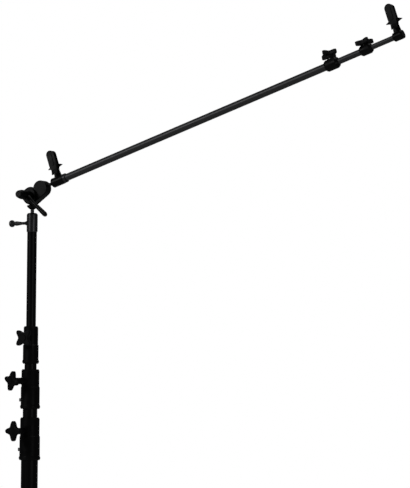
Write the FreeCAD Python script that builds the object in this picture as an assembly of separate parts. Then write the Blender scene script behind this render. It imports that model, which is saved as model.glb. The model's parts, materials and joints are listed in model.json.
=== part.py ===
import FreeCAD, Part
import math
import os

# A light stand with a telescopic boom: a turtle base, a column of four tubes and an
# arm of three, with a tilting head between them. All sizes are in millimetres. The
# column stands on Z, the floor is z = 0, and the boom leaves the column towards +X.

V = FreeCAD.Vector
X_AXIS = V(1, 0, 0)
Y_AXIS = V(0, 1, 0)
Z_AXIS = V(0, 0, 1)

# Fits
RUN = 0.05              # radial clearance of everything that slides or turns
GAP = 0.5               # air between faces that pass each other
EASE = 1.0              # usual chamfer of a turned edge

# Column tubes, from the base upwards
BASE_OD = 35.0
RISER_1_OD = 30.0
RISER_2_OD = 25.0
RISER_3_OD = 20.0
TUBE_WALL = 1.5
GUIDE_LEN = 22.0        # plastic guide at the foot of each riser

# Heights of the column's ends
BASE_BOTTOM = 228.0
RISER_1_FOOT = 256.0
RISER_2_FOOT = 268.0
RISER_3_FOOT = 466.0
SOCKET_Z = 1372.0       # the head's socket sits on the shoulder of riser 3 here

# Legs
LEG_OD = 25.0
LEG_WALL = 1.5
LEG_REACH = 500.0       # from the column's axis to the end of the foot
LEG_ELBOW = 44.5        # from the base tube to where a leg turns down
LEG_KNEE_Z = 62.0       # where it turns out along the floor
LEG_DROP_DEG = 70.0
LEG_BEND = 42.0
LEG_FRONT_Z = 330.0     # heights of the three sleeves' middles
LEG_STEP = 36.0
LEG_SPREAD_DEG = 120.0
SLEEVE_H = 32.0
SLEEVE_WALL = 4.0
SLEEVE_PLAY = 0.05      # end play of a sleeve between its rings
RING_WALL = 3.0
PLUG_FLANGE = 6.0
PLUG_DEPTH = 9.0
FOOT_AXIS_Z = 15.0
FOOT_WALL = 3.0
FOOT_LEN = 46.0
FOOT_LAND = 72.0        # level part of the leg at the foot
FOOT_END = 4.0
FOOT_ROUND = 2.5
FOOT_LIP = 0.9
FOOT_LIP_LEN = 5.0

# Column clamps: a collar seats on its tube's top and slides over the riser in it. Their
# feet are measured down from the head's socket, their other heights up from their feet.
CLAMPS = {
    "low": dict(drop=472.0, height=88.0, seat=48.0, wall=3.55, shoulder=5.0, knob_z=60.0,
                out=48.5, yaw=258.0, phase=0.0, side_screw=22.0),
    "mid": dict(drop=366.4, height=81.8, seat=44.0, wall=4.5, shoulder=6.0, knob_z=57.4,
                out=48.5, yaw=249.5, phase=-17.0, side_screw=18.5),
    "top": dict(drop=273.2, height=77.6, seat=37.4, wall=3.6, shoulder=5.0, knob_z=52.6,
                out=33.0, yaw=275.0, phase=45.0, side_screw=0.0),
}
STEP_ABOVE_SEAT = 2.0
FLANGE_PROUD = 1.2
FLANGE_H = 6.0
RIM_H = 3.0
RIM_IN = 1.8
STUD_D = 8.0
PAD_LEN = 3.5
BOSS_D = 14.6
BOSS_PROUD = 6.0
KNOB_R = 20.8
KNOB_WEB = 4.6          # how far the lobes stand out around the mean radius
KNOB_T = 9.0
KNOB_EDGE = 2.1
KNOB_HUB_D = 13.4
KNOB_CAP_D = 14.4
KNOB_CAP_H = 1.6
STUD_IN_KNOB = 1.0      # how far past the star's middle a stud reaches
SIDE_SCREW_YAW_DEG = 207.0
SIDE_SCREW_D = 4.0
SIDE_SCREW_HEAD_D = 7.0
SIDE_SCREW_PROUD = 3.0
SIDE_SCREW_SUNK = 0.4
HEX_D = 3.0

# Spigot on riser 3
SPIGOT_D = 15.88
SPIGOT_LEN = 29.0
SPIGOT_ROOT = 30.0
SPIGOT_GROOVE_D = 13.8
GROOVE = (12.0, 23.0)   # the groove's floor, above the shoulder
GROOVE_SLOPE = 2.0

# Socket with its thumb screw
SOCKET_WALL = 3.46
SOCKET_H = 39.3
SOCKET_DEPTH = 31.0
SOCKET_TOP_H = 3.5
SOCKET_TOP_IN = 3.2
NECK_D = 7.6
NECK_END = 15.5         # below the pivot
SCREW_BOSS = (12.4, 7.8)
SCREW_BOSS_OUT = 15.6
SOCKET_SCREW_Z = 18.6   # above the socket's lower edge
SOCKET_SCREW_D = 6.0
SOCKET_SCREW_ROOT_D = 4.4
GRIP_FROM = 23.0        # column axis to the grip
SOCKET_SCREW_OUT = 54.5
GRIP_ROOT_D = 6.0
GRIP_BULGE_D = 9.4
GRIP_NECK_D = 6.8
GRIP_BALL_D = 14.6
GRIP_BALL_LEN = 11.0

# Tilt joint
PIVOT_UP = 75.0         # above the socket's lower edge
PIVOT_D = 8.0
TONGUE_R = 17.6
TONGUE_T = 10.0
DISC_T = 1.5
BOWL_R = 11.2
BOWL_FOOT_R = 5.4
BOWL_DROP = 19.5        # pivot to the bowl's upper face
KNUCKLE_R = 18.5        # round the pivot
KNUCKLE_HEAD_R = 16.5   # round the outer end
KNUCKLE_T = 20.0
KNUCKLE_DX = 23.4       # pivot to the middle of the outer end
KNUCKLE_DZ = 14.7
KNUCKLE_WEB_UP = 4.0    # the web's upper edge above the line of the two middles
KNUCKLE_EDGE = 1.4
THROAT_GAP = 1.0        # the slot between the cheeks reaches this far past their rims
CHEEK_BOSS_R = 16.2
CHEEK_BOSS_T = 6.5
CHEEK_BOSS_TAPER = 0.8
BOLT_HEAD_D = 13.2
BOLT_HEAD_H = 5.0
BOLT_ROUND = 1.2

# Clamping lever, along -Y from the knuckle's boss
LEVER_PLAY = 0.1
INSERT_D = 13.0
INSERT_FLANGE = 1.5
INSERT_FLANGE_H = 1.4
INSERT_LEN = 15.4
INSERT_BORE = 11.0
BOLT_IN_INSERT = 10.4
LEVER_SCREW_D = 5.0
LEVER_SCREW_HEAD_D = 10.4
HUB_D = 19.6
HUB_LEN = 40.0
HUB_TAPER = 13.0
HUB_END_D = 13.0
HUB_FLOOR = (17.9, 20.9)   # the web under the lever's screw, from the boss
LEVER_ARM_OUT = 10.5    # from the boss to the arm's axis
LEVER_LEN = 68.0
LEVER_ROOT_R = 6.2
LEVER_WAIST_R = 4.3
LEVER_TIP_R = 5.1
LEVER_DROP_DEG = 38.8
LEVER_SPLAY_DEG = 7.0

# Boom: stations run along it from its root in the knuckle
ARM_ROOT_DX = 23.2
ARM_ROOT_DZ = 16.1
ARM_PITCH_DEG = 18.6
ARM_1_OD = 15.0
ARM_1_WALL = 1.2
ARM_2_OD = ARM_1_OD - 2 * ARM_1_WALL - 2 * RUN
ARM_2_WALL = 0.95
ARM_3_OD = ARM_2_OD - 2 * ARM_2_WALL - 2 * RUN
ARM_3_WALL = 1.0
STEM_D = 7.0
STEM_FLANGE = 1.6
STEM_PLUG = 20.0
ARM_1_START = 28.0
ARM_1_END = 691.0
ARM_2_IN = 72.0         # tube 2 starts this far inside tube 1
ARM_2_OUT = 77.0        # and stands out of it this far
ARM_3_IN = 50.0
ARM_3_OUT = 86.4
ARM_2_START = ARM_1_START + ARM_2_IN
ARM_2_END = ARM_1_END + ARM_2_OUT
ARM_3_START = ARM_2_START + ARM_3_IN
ARM_3_END = ARM_2_END + ARM_3_OUT
TIP_PLUG = 12.0
TIP_CAP = 1.6

# Boom clamps: on the end of the tube they hold, reaching over the next one. A knob's
# station is measured ahead of that end, and its lean from straight across the boom.
ARM_CLAMPS = {
    "a": dict(back=8.5, ahead=20.0, wall=4.2, knob_at=3.4, out=22.8, lean=-14.0, phase=76.0),
    "b": dict(back=7.0, ahead=18.0, wall=4.0, knob_at=5.3, out=15.4, lean=-3.0, phase=42.5),
}
ARM_KNOB_R = 19.0
ARM_KNOB_WEB = 4.6
ARM_KNOB_T = 8.6
ARM_KNOB_EDGE = 1.6
ARM_KNOB_HUB = (14.4, 16.8)
ARM_KNOB_CAP = (12.0, 10.4)
ARM_KNOB_CAP_H = 0.8
ARM_STUD_D = 6.0
ARM_BOSS_D = 12.6
ARM_BOSS_SPREAD = 1.2
ARM_BOSS_PROUD = 2.2

# Reflector clips
NEAR_SLEEVE_IN = 1.0    # the near sleeve starts this far before tube 1
NEAR_SLEEVE_LEN = 29.0
NEAR_SLEEVE_WALL = 2.5
NEAR_RING_LEN = 5.0
RING_PLAY = 0.4
FAR_SLEEVE_LEN = 19.6
FAR_SLEEVE_WALL = 3.6
SLEEVE_EDGE = 1.6
CLIP_TOP = 66.4         # boom axis to the top of the jaws
JAW_W = 17.6
JAW_T = 3.8
JAW_INNER = 2.0         # inner face of a jaw's plate from the middle plane
JAW_LIP = 0.5           # half the gap between the closed jaws
LIP_INSET = 1.5
LIP_BELOW = 8.0         # the lips' ends below and above the grip
LIP_ABOVE = 7.5
PIN_Z = 31.0
PIN_D = 2.0
PIN_LEN = 17.6
EAR_T = 1.9
EAR_R = 1.9             # less than JAW_INNER, so an ear clears the other jaw
EAR_GAP = 0.2           # between the two jaws' ears
WAIST_W = 12.6
WAIST_DROP = 8.0        # the waist below the pin
FOOT_W = 22.0
FOOT_FLARE_Z = 12.0
FOOT_Z = 3.0
WING_SPAN = 36.0
WING_BELOW = 3.4
WING_ABOVE = 6.0
GRIP_Z = 54.0
GRIP_D = 8.0
TAB_DROP = 16.5         # the finger tab's end below the pin
TAB_KICK = 3.4
RIB_W = 6.6
RIB_PROUD = 1.2
RIB_FROM = 6.0          # above the pin
RIB_TO = 9.0            # below the top
WIRE_D = 0.8
COILS = 6


def cyl(r, a, b, axis=Z_AXIS, at=V(0, 0, 0)):
    """A cylinder along an axis, from station a to station b."""
    return Part.makeCylinder(r, b - a, at + axis * a, axis)


def tube(ro, ri, a, b, axis=Z_AXIS, at=V(0, 0, 0)):
    """A tube along an axis."""
    return cyl(ro, a, b, axis, at).cut(cyl(ri, a, b, axis, at))


def cone(r1, r2, a, b, axis=Z_AXIS, at=V(0, 0, 0)):
    """A cone along an axis, from radius r1 at station a to r2 at b."""
    return Part.makeCone(r1, r2, b - a, at + axis * a, axis)


def lathe(profile):
    """Turn a closed (radius, height) profile about Z."""
    points = [V(r, 0, z) for r, z in profile]
    face = Part.Face(Part.makePolygon(points + points[:1]))
    return face.revolve(V(0, 0, 0), Z_AXIS, 360)


def block(x0, x1, y0, y1, z0, z1):
    """A box between two corners."""
    return Part.makeBox(x1 - x0, y1 - y0, z1 - z0, V(x0, y0, z0))


def fused(shapes):
    """One solid from touching shapes, without seams."""
    whole = shapes[0]
    for shape in shapes[1:]:
        whole = whole.fuse(shape)
    return whole.removeSplitter()


def frame_of(at, x_dir, z_dir):
    """The placement that stands local Z on z_dir and local X on x_dir."""
    turn = FreeCAD.Rotation(x_dir, z_dir.cross(x_dir), z_dir, "ZXY")
    return FreeCAD.Placement(at, turn)


def placed(shape, placement):
    """A moved copy."""
    out = shape.copy()
    out.Placement = placement.multiply(out.Placement)
    return out


def spun(shape, degrees, axis=Z_AXIS, at=V(0, 0, 0)):
    """A copy turned about an axis."""
    out = shape.copy()
    out.rotate(at, axis, degrees)
    return out


def yaw(degrees):
    """The level direction at this angle round the column."""
    a = math.radians(degrees)
    return V(math.cos(a), math.sin(a), 0)


def clamp_foot(name):
    """The height of a column collar's lower edge."""
    return SOCKET_Z - CLAMPS[name]["drop"]


def seat_top(name):
    """The height of the top of the tube that a column collar sits on."""
    return clamp_foot(name) + CLAMPS[name]["seat"]


def outline(points, y0, y1):
    """A plate between y0 and y1 with this outline in X and Z."""
    corners = [V(x, y0, z) for x, z in points]
    return Part.Face(Part.makePolygon(corners + corners[:1])).extrude(V(0, y1 - y0, 0))


def save(name, shape):
    """Write one node."""
    shape.exportStep("parts/" + name + ".step")


def star(r, web, thick, edge, z0, turn_deg):
    """A four-lobed star plate with rounded edges."""
    mean = r - web
    points = []
    for i in range(48):
        a = 2 * math.pi * i / 48
        rad = mean + web * math.cos(4 * a) + 0.12 * web * (math.cos(8 * a) - 1)
        points.append(V(rad * math.cos(a), rad * math.sin(a), z0))
    curve = Part.BSplineCurve()
    curve.interpolate(Points=points, PeriodicFlag=True)
    plate = Part.Face(Part.Wire(curve.toShape())).extrude(V(0, 0, thick))
    rims = [e for e in plate.Edges if e.BoundBox.ZLength < 0.01]
    return spun(plate.makeFillet(edge, rims), turn_deg)


# ---------------------------------------------------------------- base

def bent_rod(points, r, bend):
    """A round rod along a path of straights with rounded corners."""
    edges = []
    start = points[0]
    for before, corner, after in zip(points, points[1:], points[2:]):
        u = (before - corner).normalize()
        w = (after - corner).normalize()
        half = math.acos(u.dot(w)) / 2
        back = bend / math.tan(half)
        middle = (u + w).normalize()
        centre = corner + middle * (bend / math.sin(half))
        a = corner + u * back
        b = corner + w * back
        edges.append(Part.makeLine(start, a))
        edges.append(Part.Arc(a, centre - middle * bend, b).toShape())
        start = b
    edges.append(Part.makeLine(start, points[-1]))
    path = Part.Wire(edges)
    direction = (points[1] - points[0]).normalize()
    ring = Part.Wire(Part.makeCircle(r, points[0], direction))
    return path.makePipeShell([ring], True, False)


def leg(sleeve_z, bore_r, half_h):
    """One leg on +X: a sleeve on the column and a bent tube down to the floor."""
    drop = math.radians(LEG_DROP_DEG)
    sleeve_r = BASE_OD / 2 + SLEEVE_WALL
    elbow_x = BASE_OD / 2 + LEG_ELBOW
    knee_x = elbow_x + (sleeve_z - LEG_KNEE_Z) / math.tan(drop)
    path = [
        V(bore_r + EASE, 0, sleeve_z),
        V(elbow_x, 0, sleeve_z),
        V(knee_x, 0, LEG_KNEE_Z),
        V(LEG_REACH - FOOT_LAND, 0, FOOT_AXIS_Z),
        V(LEG_REACH - FOOT_END, 0, FOOT_AXIS_Z),
    ]
    sleeve = tube(sleeve_r, bore_r, sleeve_z - half_h, sleeve_z + half_h)
    rod = bent_rod(path, LEG_OD / 2, LEG_BEND)
    core = bent_rod(path, LEG_OD / 2 - LEG_WALL, LEG_BEND)
    body = fused([sleeve, rod.cut(cyl(bore_r, 0, sleeve_z + SLEEVE_H))])
    return body.cut(core.cut(cyl(sleeve_r - EASE, 0, sleeve_z + SLEEVE_H)))


def foot():
    """The rubber boot on a leg's end, on +X, with a flat under it."""
    low = LEG_REACH - FOOT_LEN
    at = V(0, 0, FOOT_AXIS_Z)
    foot_r = LEG_OD / 2 + FOOT_WALL
    boot = cyl(foot_r, low, LEG_REACH, X_AXIS, at)
    rims = [e for e in boot.Edges if e.BoundBox.XLength < 0.01 and e.BoundBox.XMin > low + 1]
    boot = boot.makeFillet(FOOT_ROUND, rims)
    boot = boot.fuse(cyl(foot_r + FOOT_LIP, low, low + FOOT_LIP_LEN, X_AXIS, at)).removeSplitter()
    hole = cyl(LEG_OD / 2, low - 1, LEG_REACH - FOOT_END, X_AXIS, at)
    under = block(low - 1, LEG_REACH + 1, -2 * foot_r, 2 * foot_r, -2 * foot_r, 0)
    return boot.cut(hole).cut(under)


def build_base():
    r = BASE_OD / 2
    ring_r = r + RING_WALL
    heights = [LEG_FRONT_Z - i * LEG_STEP for i in range(3)]
    save("base_tube", tube(r, r - TUBE_WALL, BASE_BOTTOM, seat_top("low")))
    turns = [("front", 0.0, r), ("left", LEG_SPREAD_DEG, r + RUN), ("right", -LEG_SPREAD_DEG, r + RUN)]
    for z, (name, turn, bore) in zip(heights, turns):
        half = SLEEVE_H / 2 - SLEEVE_PLAY
        save("leg_" + name, spun(leg(z, bore, half), turn))
        save("foot_" + name, spun(foot(), turn))
    gap = LEG_STEP - SLEEVE_H
    rings = []
    for z in heights:
        rings.append(tube(ring_r, r, z + SLEEVE_H / 2, z + SLEEVE_H / 2 + gap))
    low = heights[-1] - SLEEVE_H / 2
    rings.append(tube(ring_r, r, low - gap, low))
    save("leg_rings", Part.makeCompound(rings))
    plug = [
        (0, BASE_BOTTOM - PLUG_FLANGE),
        (r - EASE, BASE_BOTTOM - PLUG_FLANGE),
        (r, BASE_BOTTOM - PLUG_FLANGE + EASE),
        (r, BASE_BOTTOM),
        (r - TUBE_WALL, BASE_BOTTOM),
        (r - TUBE_WALL, BASE_BOTTOM + PLUG_DEPTH),
        (0, BASE_BOTTOM + PLUG_DEPTH),
    ]
    save("base_plug", lathe(plug))


# ---------------------------------------------------------------- column

def riser(number, od, foot_z, top_z, outer_od):
    """A riser tube, with the plastic ring that guides its foot in the tube below."""
    name = str(number)
    save("riser_" + name, tube(od / 2, od / 2 - TUBE_WALL, foot_z, top_z))
    guide_r = outer_od / 2 - TUBE_WALL - RUN
    save("guide_" + name, tube(guide_r, od / 2, foot_z, foot_z + GUIDE_LEN))


def side_screw(name, body, z, tube_r, lower_r):
    """Set the small screw that holds a collar to its tube; return the drilled collar."""
    side = yaw(SIDE_SCREW_YAW_DEG)
    at = V(0, 0, z)
    seat_r = lower_r - SIDE_SCREW_SUNK
    end_r = lower_r + SIDE_SCREW_PROUD
    body = body.cut(cyl(SIDE_SCREW_D / 2, 0, end_r, side, at))
    body = body.cut(cyl(SIDE_SCREW_HEAD_D / 2, seat_r, end_r, side, at))
    shank = cyl(SIDE_SCREW_D / 2, 0, seat_r, side, at).cut(cyl(tube_r, z - 10, z + 10))
    head = cyl(SIDE_SCREW_HEAD_D / 2, seat_r, end_r, side, at)
    head = head.cut(cyl(HEX_D / 2, end_r - 2.0, end_r + 1, side, at))
    save("collar_" + name + "_screw", fused([shank, head]))
    return body


def clamp(name, tube_od, riser_od):
    """A collar on a tube's top, with its star knob, stud and pad, and its side screw."""
    size = CLAMPS[name]
    z0, height, seat = clamp_foot(name), size["height"], size["seat"]
    step = seat + STEP_ABOVE_SEAT
    tube_r = tube_od / 2
    inner_r = riser_od / 2 + RUN
    lower_r = tube_r + size["wall"]
    upper_r = riser_od / 2 + size["shoulder"]
    outer = [
        (tube_r, z0),
        (lower_r - 0.6, z0),
        (lower_r + FLANGE_PROUD, z0 + FLANGE_H / 2),
        (lower_r + FLANGE_PROUD, z0 + FLANGE_H),
        (lower_r, z0 + FLANGE_H + 2 * FLANGE_PROUD),
        (lower_r, z0 + step - FLANGE_PROUD),
        (upper_r, z0 + step),
        (upper_r, z0 + height - RIM_H),
        (upper_r - RIM_IN, z0 + height),
        (inner_r, z0 + height),
        (inner_r, z0 + seat),
        (tube_r, z0 + seat),
    ]
    face = yaw(size["yaw"])
    at = V(0, 0, z0 + size["knob_z"])
    out = size["out"]
    boss_end = min(upper_r + BOSS_PROUD, out - KNOB_T / 2 - GAP)
    boss_r = BOSS_D / 2
    boss = cyl(boss_r, 0, boss_end - EASE, face, at)
    boss = boss.fuse(cone(boss_r, boss_r - EASE, boss_end - EASE, boss_end, face, at))
    boss = boss.cut(cyl(inner_r, z0 - 1, z0 + height + 1)).cut(cyl(tube_r, z0 - 1, z0 + seat))
    body = fused([lathe(outer), boss])
    body = body.cut(cyl(STUD_D / 2 + RUN, 0, boss_end + 1, face, at))
    if size["side_screw"]:
        body = side_screw(name, body, z0 + size["side_screw"], tube_r, lower_r)
    save("collar_" + name, body)

    spot = frame_of(at, Z_AXIS, face)
    pad_end = inner_r + PAD_LEN
    stud_end = out + STUD_IN_KNOB
    cap = out + KNOB_T / 2
    save("pad_" + name, placed(cyl(STUD_D / 2 - RUN, inner_r, pad_end), spot))
    plate = star(KNOB_R, KNOB_WEB, KNOB_T, KNOB_EDGE, out - KNOB_T / 2, size["phase"])
    hub = cyl(KNOB_HUB_D / 2, boss_end + GAP, out)
    top = cone(KNOB_CAP_D / 2, KNOB_CAP_D / 2 - EASE, cap, cap + KNOB_CAP_H)
    knob = fused([plate, hub, top])
    save("knob_" + name, placed(knob.cut(cyl(STUD_D / 2, 0, stud_end)), spot))
    save("stud_" + name, placed(cyl(STUD_D / 2, pad_end, stud_end), spot))


def build_spigot():
    s = SPIGOT_D / 2
    waist = SPIGOT_GROOVE_D / 2
    bore = RISER_3_OD / 2 - TUBE_WALL
    low, high = GROOVE
    spigot = [
        (0, SOCKET_Z - SPIGOT_ROOT),
        (bore, SOCKET_Z - SPIGOT_ROOT),
        (bore, SOCKET_Z),
        (s, SOCKET_Z),
        (s, SOCKET_Z + low - GROOVE_SLOPE),
        (waist, SOCKET_Z + low),
        (waist, SOCKET_Z + high),
        (s, SOCKET_Z + high + GROOVE_SLOPE),
        (s, SOCKET_Z + SPIGOT_LEN - EASE),
        (s - EASE, SOCKET_Z + SPIGOT_LEN),
        (0, SOCKET_Z + SPIGOT_LEN),
    ]
    save("spigot", lathe(spigot))


def build_column():
    clamp("low", BASE_OD, RISER_1_OD)
    clamp("mid", RISER_1_OD, RISER_2_OD)
    clamp("top", RISER_2_OD, RISER_3_OD)
    riser(1, RISER_1_OD, RISER_1_FOOT, seat_top("mid"), BASE_OD)
    riser(2, RISER_2_OD, RISER_2_FOOT, seat_top("top"), RISER_1_OD)
    riser(3, RISER_3_OD, RISER_3_FOOT, SOCKET_Z, RISER_2_OD)
    build_spigot()


# ---------------------------------------------------------------- head

def pivot_point():
    """The middle of the tilt joint."""
    return V(0, 0, SOCKET_Z + PIVOT_UP)


def build_socket():
    bore = SPIGOT_D / 2 + RUN
    r = SPIGOT_D / 2 + SOCKET_WALL
    z0 = SOCKET_Z + RUN
    top = SOCKET_Z + SOCKET_H
    neck = NECK_D / 2
    neck_top = pivot_point().z - NECK_END
    outer = [
        (bore + EASE, z0),
        (r - EASE, z0),
        (r, z0 + EASE),
        (r, top - SOCKET_TOP_H),
        (r - 0.3 * SOCKET_TOP_IN, top - 0.4 * SOCKET_TOP_H),
        (r - SOCKET_TOP_IN, top),
        (neck, top),
        (neck, neck_top),
        (0, neck_top),
        (0, SOCKET_Z + SOCKET_DEPTH),
        (bore, SOCKET_Z + SOCKET_DEPTH),
        (bore, z0 + EASE),
    ]
    at = V(0, 0, SOCKET_Z + SOCKET_SCREW_Z)
    back = V(-1, 0, 0)
    boss_from = bore + EASE
    boss = cone(SCREW_BOSS[0] / 2, SCREW_BOSS[1] / 2, boss_from, SCREW_BOSS_OUT, back, at)
    body = fused([lathe(outer), boss.cut(cyl(bore, SOCKET_Z, SOCKET_Z + SOCKET_DEPTH))])
    screw_r = SOCKET_SCREW_D / 2
    save("head_socket", body.cut(cyl(screw_r + RUN, 0, SCREW_BOSS_OUT + 1, back, at)))

    spot = frame_of(at, Z_AXIS, back)
    tip = SPIGOT_GROOVE_D / 2 + 2 * RUN
    root = SOCKET_SCREW_ROOT_D / 2
    out = SOCKET_SCREW_OUT
    root_end = out - GRIP_BALL_LEN / 2
    shank = [
        (0, tip),
        (screw_r - EASE, tip),
        (screw_r, tip + EASE),
        (screw_r, GRIP_FROM - RUN),
        (root, GRIP_FROM - RUN),
        (root, root_end),
        (0, root_end),
    ]
    save("socket_screw", placed(lathe(shank), spot))
    ball = GRIP_BALL_D / 2
    neck_at = out - GRIP_BALL_LEN - 1.0
    handle = [
        (root + RUN, GRIP_FROM),
        (GRIP_ROOT_D / 2 - 0.4, GRIP_FROM),
        (GRIP_ROOT_D / 2, GRIP_FROM + 1.5),
        (GRIP_BULGE_D / 2, neck_at - 6.0),
        (GRIP_BULGE_D / 2, neck_at - 3.0),
        (GRIP_NECK_D / 2, neck_at),
        (GRIP_NECK_D / 2 + 0.6, out - GRIP_BALL_LEN),
        (ball - 0.8, out - 0.8 * GRIP_BALL_LEN),
        (ball, out - 0.6 * GRIP_BALL_LEN),
        (ball, out - 0.35 * GRIP_BALL_LEN),
        (ball - 1.2, out - 0.14 * GRIP_BALL_LEN),
        (ball - 3.6, out),
        (0, out),
        (0, root_end + RUN),
        (root + RUN, root_end + RUN),
    ]
    save("socket_screw_grip", placed(lathe(handle), spot))


def build_lower_knuckle():
    pivot = pivot_point()
    top = SOCKET_Z + SOCKET_H
    low = top + (pivot.z - BOWL_DROP - top) / 2
    face = pivot.z - BOWL_DROP
    neck_top = pivot.z - NECK_END
    bowl = lathe([
        (0, low),
        (BOWL_FOOT_R, low),
        (BOWL_R - 3.0, low + 2.2),
        (BOWL_R, low + 5.6),
        (BOWL_R, face - EASE),
        (BOWL_R - EASE, face),
        (0, face),
    ])
    half = TONGUE_T / 2
    tongue = cyl(TONGUE_R, -half, half, Y_AXIS, pivot)
    web = block(-half, half, -half, half, face - EASE, pivot.z - half)
    lower = fused([bowl, tongue, web])
    lower = lower.cut(cyl(NECK_D / 2, top, neck_top))
    through = 2 * (KNUCKLE_T + CHEEK_BOSS_T)
    save("lower_knuckle", lower.cut(cyl(PIVOT_D / 2 + RUN, -through, through, Y_AXIS, pivot)))
    discs = []
    for y in (-half - DISC_T, half):
        discs.append(tube(TONGUE_R - EASE, PIVOT_D / 2 + RUN, y, y + DISC_T, Y_AXIS, pivot))
    save("friction_discs", Part.makeCompound(discs))


def build_upper_knuckle():
    pivot = pivot_point()
    half = KNUCKLE_T / 2
    slot = TONGUE_T / 2 + DISC_T
    head = pivot + V(KNUCKLE_DX, 0, KNUCKLE_DZ)
    span = math.hypot(KNUCKLE_DX, KNUCKLE_DZ)
    lean = math.degrees(math.atan2(KNUCKLE_DZ, KNUCKLE_DX))
    taper = math.asin((KNUCKLE_R - KNUCKLE_HEAD_R) / span)
    sine, cosine = math.sin(taper), math.cos(taper)
    web = outline([
        (0, KNUCKLE_WEB_UP),
        (KNUCKLE_R * sine, -KNUCKLE_R * cosine),
        (span + KNUCKLE_HEAD_R * sine, -KNUCKLE_HEAD_R * cosine),
        (span, KNUCKLE_WEB_UP),
    ], -half, half)
    web = placed(spun(web, -lean, Y_AXIS), FreeCAD.Placement(pivot, FreeCAD.Rotation()))
    ends = [cyl(KNUCKLE_R, -half, half, Y_AXIS, pivot), cyl(KNUCKLE_HEAD_R, -half, half, Y_AXIS, head)]
    upper = fused([ends[0], web, ends[1]])
    rims = [e for e in upper.Edges if e.BoundBox.YLength < 0.01]
    upper = upper.makeFillet(KNUCKLE_EDGE, rims)
    boss_r = CHEEK_BOSS_R
    for side in (-1, 1):
        out = V(0, side, 0)
        upper = upper.fuse(cone(boss_r, boss_r - CHEEK_BOSS_TAPER, half, half + CHEEK_BOSS_T, out, pivot))
    upper = upper.cut(cyl(KNUCKLE_R + THROAT_GAP, -slot, slot, Y_AXIS, pivot))
    reach = half + CHEEK_BOSS_T
    upper = upper.cut(cyl(PIVOT_D / 2, -2 * reach, 2 * reach, Y_AXIS, pivot))
    root, along, across = arm_axes()
    save("upper_knuckle", upper.cut(cyl(STEM_D / 2, 0, 2 * KNUCKLE_R, along, root)).removeSplitter())

    bolt = cyl(BOLT_HEAD_D / 2, reach, reach + BOLT_HEAD_H, Y_AXIS, pivot)
    rims = [e for e in bolt.Edges if e.BoundBox.YLength < 0.01 and e.BoundBox.YMin > reach + 1]
    bolt = bolt.makeFillet(BOLT_ROUND, rims)
    bolt = bolt.cut(cyl(HEX_D, reach + BOLT_HEAD_H / 2, reach + BOLT_HEAD_H + 1, Y_AXIS, pivot))
    shank = cyl(PIVOT_D / 2, -(reach + LEVER_PLAY + BOLT_IN_INSERT), reach, Y_AXIS, pivot)
    save("pivot_bolt", fused([bolt, shank]))


def build_lever():
    pivot = pivot_point()
    face = KNUCKLE_T / 2 + CHEEK_BOSS_T + LEVER_PLAY
    spot = frame_of(pivot - Y_AXIS * face, X_AXIS, V(0, -1, 0))
    hub_r = HUB_D / 2
    insert_r = INSERT_D / 2
    screw_r = LEVER_SCREW_D / 2
    screw_head = LEVER_SCREW_HEAD_D / 2
    bolt_bore = PIVOT_D / 2 + RUN
    insert = [
        (bolt_bore, 0),
        (insert_r + INSERT_FLANGE, 0),
        (insert_r + INSERT_FLANGE, INSERT_FLANGE_H),
        (insert_r, INSERT_FLANGE_H),
        (insert_r, INSERT_LEN),
        (screw_r, INSERT_LEN),
        (screw_r, INSERT_BORE),
        (bolt_bore, INSERT_BORE),
    ]
    save("lever_insert", placed(lathe(insert), spot))
    low = INSERT_FLANGE_H + LEVER_PLAY
    floor_low, floor_high = HUB_FLOOR
    hub = [
        (insert_r + RUN, low),
        (hub_r - EASE, low),
        (hub_r, low + EASE),
        (hub_r, HUB_LEN - HUB_TAPER),
        (hub_r - 0.9, HUB_LEN - 0.6 * HUB_TAPER),
        (HUB_END_D / 2 + 1.2, HUB_LEN - 0.16 * HUB_TAPER),
        (HUB_END_D / 2, HUB_LEN),
        (screw_head + 2 * RUN, HUB_LEN),
        (screw_head + 2 * RUN, floor_high),
        (screw_r + 2 * RUN, floor_high),
        (screw_r + 2 * RUN, floor_low),
        (insert_r + RUN, floor_low),
    ]
    hub = placed(lathe(hub), spot)
    profile = [
        (0, 0),
        (LEVER_ROOT_R, 0),
        (LEVER_ROOT_R - 0.2, 10.0),
        (LEVER_WAIST_R + 0.4, 22.0),
        (LEVER_WAIST_R, 34.0),
        (LEVER_TIP_R - 0.3, 0.75 * LEVER_LEN),
        (LEVER_TIP_R, LEVER_LEN - 2.0),
        (LEVER_TIP_R - 0.4, LEVER_LEN + 0.6),
        (0.65 * LEVER_TIP_R, LEVER_LEN + 3.0),
        (0.3 * LEVER_TIP_R, LEVER_LEN + 4.4),
        (0, LEVER_LEN + 4.8),
    ]
    drop = math.radians(LEVER_DROP_DEG)
    splay = math.radians(LEVER_SPLAY_DEG)
    run = V(math.cos(drop) * math.cos(splay), -math.sin(splay), -math.sin(drop) * math.cos(splay))
    side = run.cross(Y_AXIS).normalize()
    root = pivot - Y_AXIS * (face + LEVER_ARM_OUT)
    arm = placed(lathe(profile), frame_of(root, side, run))
    arm = arm.cut(cyl(hub_r - 1.5, -face - HUB_LEN, -face, Y_AXIS, pivot))
    clear = cyl(4 * hub_r, -face - low, 0, Y_AXIS, pivot)
    save("lever", fused([hub, arm.cut(clear)]))
    head_low = HUB_LEN - 5.2
    screw = [
        (0, INSERT_BORE + GAP),
        (screw_r, INSERT_BORE + GAP),
        (screw_r, head_low),
        (screw_head, head_low),
        (screw_head, head_low + 2.4),
        (screw_head - 1.2, head_low + 3.6),
        (HEX_D / 2, head_low + 3.6),
        (HEX_D / 2, head_low + 2.4),
        (0, head_low + 2.4),
    ]
    save("lever_screw", placed(lathe(screw), spot))


# ---------------------------------------------------------------- boom

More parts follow.
